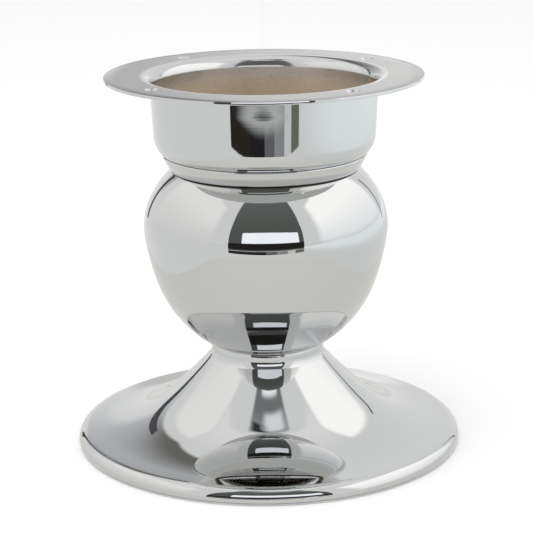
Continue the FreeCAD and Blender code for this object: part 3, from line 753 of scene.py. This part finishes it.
# %% [markdown]
# ## The table and the tent of light
# Polished metal has almost no colour of its own: it shows the room. A white table and a bright
# even sky would leave it flat, so large cards stand around it, each one a plain patch of light.
# The cards light nothing and cannot be seen, except in the chrome. Two side sheets, a top and a
# cloth make a light tent, warmer on the left and brighter on the right. Dark cards in front play
# the gap between its sheets, which gives the knop its arch and the cup its dark window.

# %% Lay the table
ROOM_LIGHT = 0.92
TABLE_SIZE = 8

world = bpy.data.worlds.new("pale_room")
bpy.context.scene.world = world
world.use_nodes = True
world.node_tree.nodes["Background"].inputs["Color"].default_value = (1.0, 1.0, 1.0, 1)
world.node_tree.nodes["Background"].inputs["Strength"].default_value = ROOM_LIGHT

clear_selection()
bpy.ops.mesh.primitive_plane_add(size=TABLE_SIZE, location=(0, 0, 0))
table = bpy.context.object
table.name = "table"
table_recipe = Recipe("table_top")
table_finish = table_recipe.finish(Base_Color=(0.93, 0.93, 0.93, 1), Roughness=0.9)
paint(table, table_finish)

# %% Make a card


def card(name, corner, across, up, low, high=None, fade=(0.0, 1.0), soft=0.0):
    """A patch of light seen only by the chrome. It spans two edges from one corner, fades from
    one colour to another along the second edge, and may have soft sides."""
    corner, across, up = Vector(corner), Vector(across), Vector(up)
    clear_selection()
    bpy.ops.mesh.primitive_plane_add(size=1)
    made = bpy.context.object
    made.name = name
    places = (corner, corner + across, corner + up, corner + across + up)
    for vertex, place in zip(made.data.vertices, places):
        vertex.co = place
    recipe = Recipe(name)
    u, v, _ = recipe.parts_of(recipe.node("ShaderNodeUVMap"))
    colour = recipe.blend(recipe.step(v, *fade), (*low, 1), (*(high or low), 1))
    light = recipe.node("ShaderNodeEmission", None, {"Color": colour, "Strength": 1.0})
    if soft:
        edge = (recipe.step(u, 0.0, soft) * recipe.step(1.0 - u, 0.0, soft)
                * recipe.step(v, 0.0, soft) * recipe.step(1.0 - v, 0.0, soft))
        clear = recipe.node("ShaderNodeBsdfTransparent")
        light = recipe.node("ShaderNodeMixShader", None, {0: edge, 1: clear, 2: light})
    recipe.tree.links.new(light.socket, recipe.tree.nodes["Material Output"].inputs["Surface"])
    paint(made, recipe.material)
    made.visible_camera = False
    made.visible_diffuse = False
    made.visible_shadow = False
    made.visible_transmission = False


# %% Stand the sheets of the tent
# each card has a corner, two edges, and a tone or two, all in metres and linear light
card("cloth_left", (-2.0, -0.9, 0.0003), (0, 3, 0), (1.999, 0, 0), (0.90, 0.90, 0.89),
     (0.90, 0.91, 0.91))
card("cloth_right", (0.001, -0.9, 0.0003), (0, 3, 0), (1.999, 0, 0), (0.86, 0.87, 0.86),
     (1.08, 1.13, 1.16), fade=(0.10, 0.28))
card("board", (-0.16, -0.37, 0.0006), (0.32, 0, 0), (0, 0.85, 0), (0.90, 0.90, 0.87),
     (0.82, 0.82, 0.78), fade=(0.0, 0.5))
card("sheet_left", (-0.80, -0.75, 0.0), (0, 1.5, 0), (0, 0, 1.4), (0.92, 0.92, 0.91),
     (1.14, 1.13, 1.10), fade=(0.0, 0.6), soft=0.12)
card("sheet_right", (0.80, -0.75, 0.0), (0, 1.6, 0), (0, 0, 1.4), (1.15, 1.18, 1.20),
     (1.48, 1.46, 1.43), fade=(0.0, 0.55), soft=0.12)
card("sheet_top", (-0.9, -0.2, 1.35), (1.8, 0, 0), (0, 1.1, 0), (1.05, 1.05, 1.04),
     (0.92, 0.92, 0.92), soft=0.1)

# %% Open the gap in the tent
# From the table up: dark room under a low pale edge, a black band, a pale sheet on a stand,
# a grey wall, and the slit overhead. A card with a larger Y stands in front of its neighbours.
GAP_Y = -0.37
LOW_TOP = 0.040
PALE_EDGE = (0.62, 0.63, 0.63)
gap_strips = (("brown", -0.240, -0.095, (0.030, 0.026, 0.022)),
              ("black", -0.095, 0.000, (0.020, 0.020, 0.022)),
              ("grey", 0.000, 0.060, (0.16, 0.16, 0.17)),
              ("light", 0.060, 0.125, (0.34, 0.34, 0.35)),
              ("pale", 0.125, 0.175, (0.78, 0.79, 0.79)),
              ("olive", 0.175, 0.240, (0.19, 0.20, 0.16)))
for strip, left, right, tone in gap_strips:
    card("gap_" + strip, (left, GAP_Y, 0.0), (right - left, 0, 0), (0, 0, LOW_TOP), tone,
         PALE_EDGE, fade=(0.70, 1.0))
card("gap_wall", (-0.24, GAP_Y, LOW_TOP), (0.48, 0, 0), (0, 0, 0.85), (0.115, 0.12, 0.112),
     (0.17, 0.175, 0.17))
card("gap_band", (-0.24, GAP_Y + 0.002, 0.052), (0.48, 0, 0), (0, 0, 0.065), (0.022, 0.021, 0.02))
card("pale_sheet", (-0.14, GAP_Y + 0.004, 0.117), (0.34, 0, 0), (0, 0, 0.115), (1.35, 1.37, 1.45))
card("slit", (-0.30, -0.66, 1.20), (0.60, 0, 0), (0, 0.48, 0), (0.23, 0.235, 0.24),
     (0.46, 0.47, 0.48), fade=(0.6, 1.0), soft=0.10)
card("slit_lamp", (-0.18, -0.66, 1.19), (0.40, 0, 0), (0, 0.25, 0), (1.25, 1.25, 1.28), soft=0.2)
card("slit_glow", (-0.13, -0.365, 1.19), (0.40, 0, 0), (0, 0.15, 0), (0.98, 0.98, 1.03), soft=0.3)
card("slit_shade", (-0.27, -0.29, 1.19), (0.30, 0, 0), (0, 0.08, 0), (0.05, 0.05, 0.05),
     soft=0.25)

# %% Shade the back
card("back_sheet", (-0.17, 1.0, 0.04), (0, 0, 0.30), (0.34, 0, 0), (0.70, 0.695, 0.68),
     (1.12, 1.12, 1.11), soft=0.1)
card("back_shade", (-0.80, 0.9, 0.24), (0.80, 0, 0), (0, 0, 1.1), (0.66, 0.67, 0.70),
     (0.19, 0.19, 0.17), fade=(0.0, 0.7), soft=0.14)
card("edge_left", (-0.46, 0.62, 0.0), (0.06, 0.02, 0), (0, 0, 0.5), (0.10, 0.10, 0.11))
card("edge_right", (0.52, 0.62, 0.0), (0.05, 0.02, 0), (0, 0, 0.4), (0.25, 0.28, 0.32))

# %% Hang the lamp


def lamp(name, place, aim, size, power):
    """A square soft lamp that looks at a point and doesn't show in the chrome."""
    light = bpy.data.lights.new(name, "AREA")
    light.size = size
    light.energy = power
    made = bpy.data.objects.new(name, light)
    bpy.context.scene.collection.objects.link(made)
    made.location = place
    made.rotation_euler = (Vector(aim) - Vector(place)).to_track_quat("-Z", "Y").to_euler()
    made.visible_glossy = False


lamp("lamp_top", place=(-0.2, -0.3, 1.1), aim=(0, 0, 0.05), size=1.0, power=4.5)
print("the tent is up")
